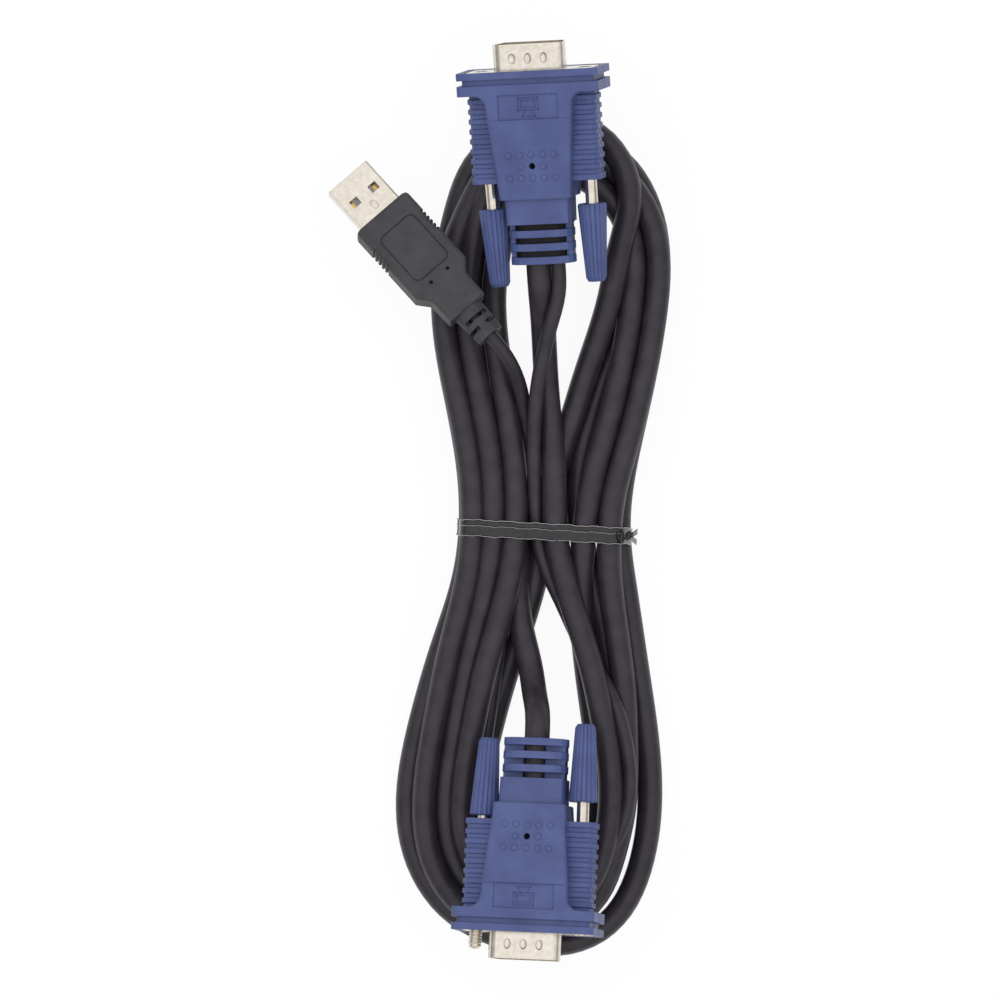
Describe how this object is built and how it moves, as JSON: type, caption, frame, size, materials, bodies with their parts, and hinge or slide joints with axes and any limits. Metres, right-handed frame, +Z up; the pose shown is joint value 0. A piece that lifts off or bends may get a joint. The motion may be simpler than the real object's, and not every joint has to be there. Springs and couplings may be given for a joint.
{
  "type": "kvm cable",
  "caption": "Video and control cable in a tied hank: a screw-down D-sub plug at each end and a flat USB plug on a short lead beside one of them.",
  "frame": {"origin": "middle of the whole part's outline in plan, on the surface that the hank lies on", "axes": "+Z up from that surface, +Y along the hank towards the computer-end plug, +X to the side away from the USB plug"},
  "size_m": [0.0824, 0.2198, 0.0381],
  "materials": {
    "blue_plastic": "moulded plastic, satin",
    "cable_black": "soft vinyl jacket, satin",
    "gold_contact": "gold plated contact",
    "inner_mould": "soft inner moulding",
    "insulator_blue": "moulded insulator",
    "nickel": "nickel plated steel",
    "tie_black": "flat coated wire tie",
    "usb_black": "soft overmoulding",
    "usb_white": "insulating tongue"
  },
  "bodies": {
    "cable": {"cable_hank": "cable_black", "kvm_front_shell": "nickel", "kvm_hood_bottom": "blue_plastic", "kvm_hood_top": "blue_plastic", "kvm_inner_mould": "inner_mould", "kvm_insulator": "insulator_blue", "kvm_pin_01": "gold_contact", "kvm_pin_02": "gold_contact", "kvm_pin_03": "gold_contact", "kvm_pin_04": "gold_contact", "kvm_pin_05": "gold_contact", "kvm_pin_06": "gold_contact", "kvm_pin_07": "gold_contact", "kvm_pin_08": "gold_contact", "kvm_pin_09": "gold_contact", "kvm_pin_10": "gold_contact", "kvm_pin_11": "gold_contact", "kvm_pin_12": "gold_contact", "kvm_pin_13": "gold_contact", "kvm_pin_14": "gold_contact", "kvm_pin_15": "gold_contact", "kvm_rear_shell": "nickel", "kvm_video_lead": "cable_black", "pc_front_shell": "nickel", "pc_hood_bottom": "blue_plastic", "pc_hood_top": "blue_plastic", "pc_inner_mould": "inner_mould", "pc_insulator": "insulator_blue", "pc_pin_01": "gold_contact", "pc_pin_02": "gold_contact", "pc_pin_03": "gold_contact", "pc_pin_04": "gold_contact", "pc_pin_05": "gold_contact", "pc_pin_06": "gold_contact", "pc_pin_07": "gold_contact", "pc_pin_08": "gold_contact", "pc_pin_09": "gold_contact", "pc_pin_10": "gold_contact", "pc_pin_11": "gold_contact", "pc_pin_12": "gold_contact", "pc_pin_13": "gold_contact", "pc_pin_14": "gold_contact", "pc_pin_15": "gold_contact", "pc_rear_shell": "nickel", "pc_usb_lead": "cable_black", "pc_video_lead": "cable_black", "twist_tie": "tie_black", "usb_overmould": "usb_black", "usb_plug_lead": "cable_black", "usb_shell": "nickel", "usb_tongue": "usb_white"},
    "kvm_knob_left": {"kvm_knob_left": "blue_plastic"},
    "kvm_knob_right": {"kvm_knob_right": "blue_plastic"},
    "kvm_screw_left": {"kvm_screw_left": "nickel"},
    "kvm_screw_right": {"kvm_screw_right": "nickel"},
    "pc_knob_left": {"pc_knob_left": "blue_plastic"},
    "pc_knob_right": {"pc_knob_right": "blue_plastic"},
    "pc_screw_left": {"pc_screw_left": "nickel"},
    "pc_screw_right": {"pc_screw_right": "nickel"}
  },
  "joints": [
    {"name": "pc_left_screw_travel", "type": "slide", "parent": "cable", "child": "pc_screw_left", "axis": [-0.0879, 0.9901, 0.109], "range_m": [-0.0005, 0.006]},
    {"name": "pc_left_knob_turn", "type": "hinge", "parent": "pc_screw_left", "child": "pc_knob_left", "pos_m": [-0.00409, 0.0965, 0.02355], "axis": [-0.0879, 0.9901, 0.109], "continuous": true},
    {"name": "pc_right_screw_travel", "type": "slide", "parent": "cable", "child": "pc_screw_right", "axis": [-0.0624, 0.9914, 0.1149], "range_m": [-0.0009, 0.0056]},
    {"name": "pc_right_knob_turn", "type": "hinge", "parent": "pc_screw_right", "child": "pc_knob_right", "pos_m": [0.02008, 0.09777, 0.02915], "axis": [-0.0624, 0.9914, 0.1149], "continuous": true},
    {"name": "kvm_left_screw_travel", "type": "slide", "parent": "cable", "child": "kvm_screw_left", "axis": [-0.0709, -0.9936, 0.0884], "range_m": [-0.006, 0.0005]},
    {"name": "kvm_left_knob_turn", "type": "hinge", "parent": "kvm_screw_left", "child": "kvm_knob_left", "pos_m": [-0.00587, -0.10192, 0.02378], "axis": [-0.0709, -0.9936, 0.0884], "continuous": true},
    {"name": "kvm_right_screw_travel", "type": "slide", "parent": "cable", "child": "kvm_screw_right", "axis": [-0.0332, -0.9949, 0.0957], "range_m": [-0.0019, 0.0046]},
    {"name": "kvm_right_knob_turn", "type": "hinge", "parent": "kvm_screw_right", "child": "kvm_knob_right", "pos_m": [0.01877, -0.09864, 0.02813], "axis": [-0.0332, -0.9949, 0.0957], "continuous": true}
  ]
}
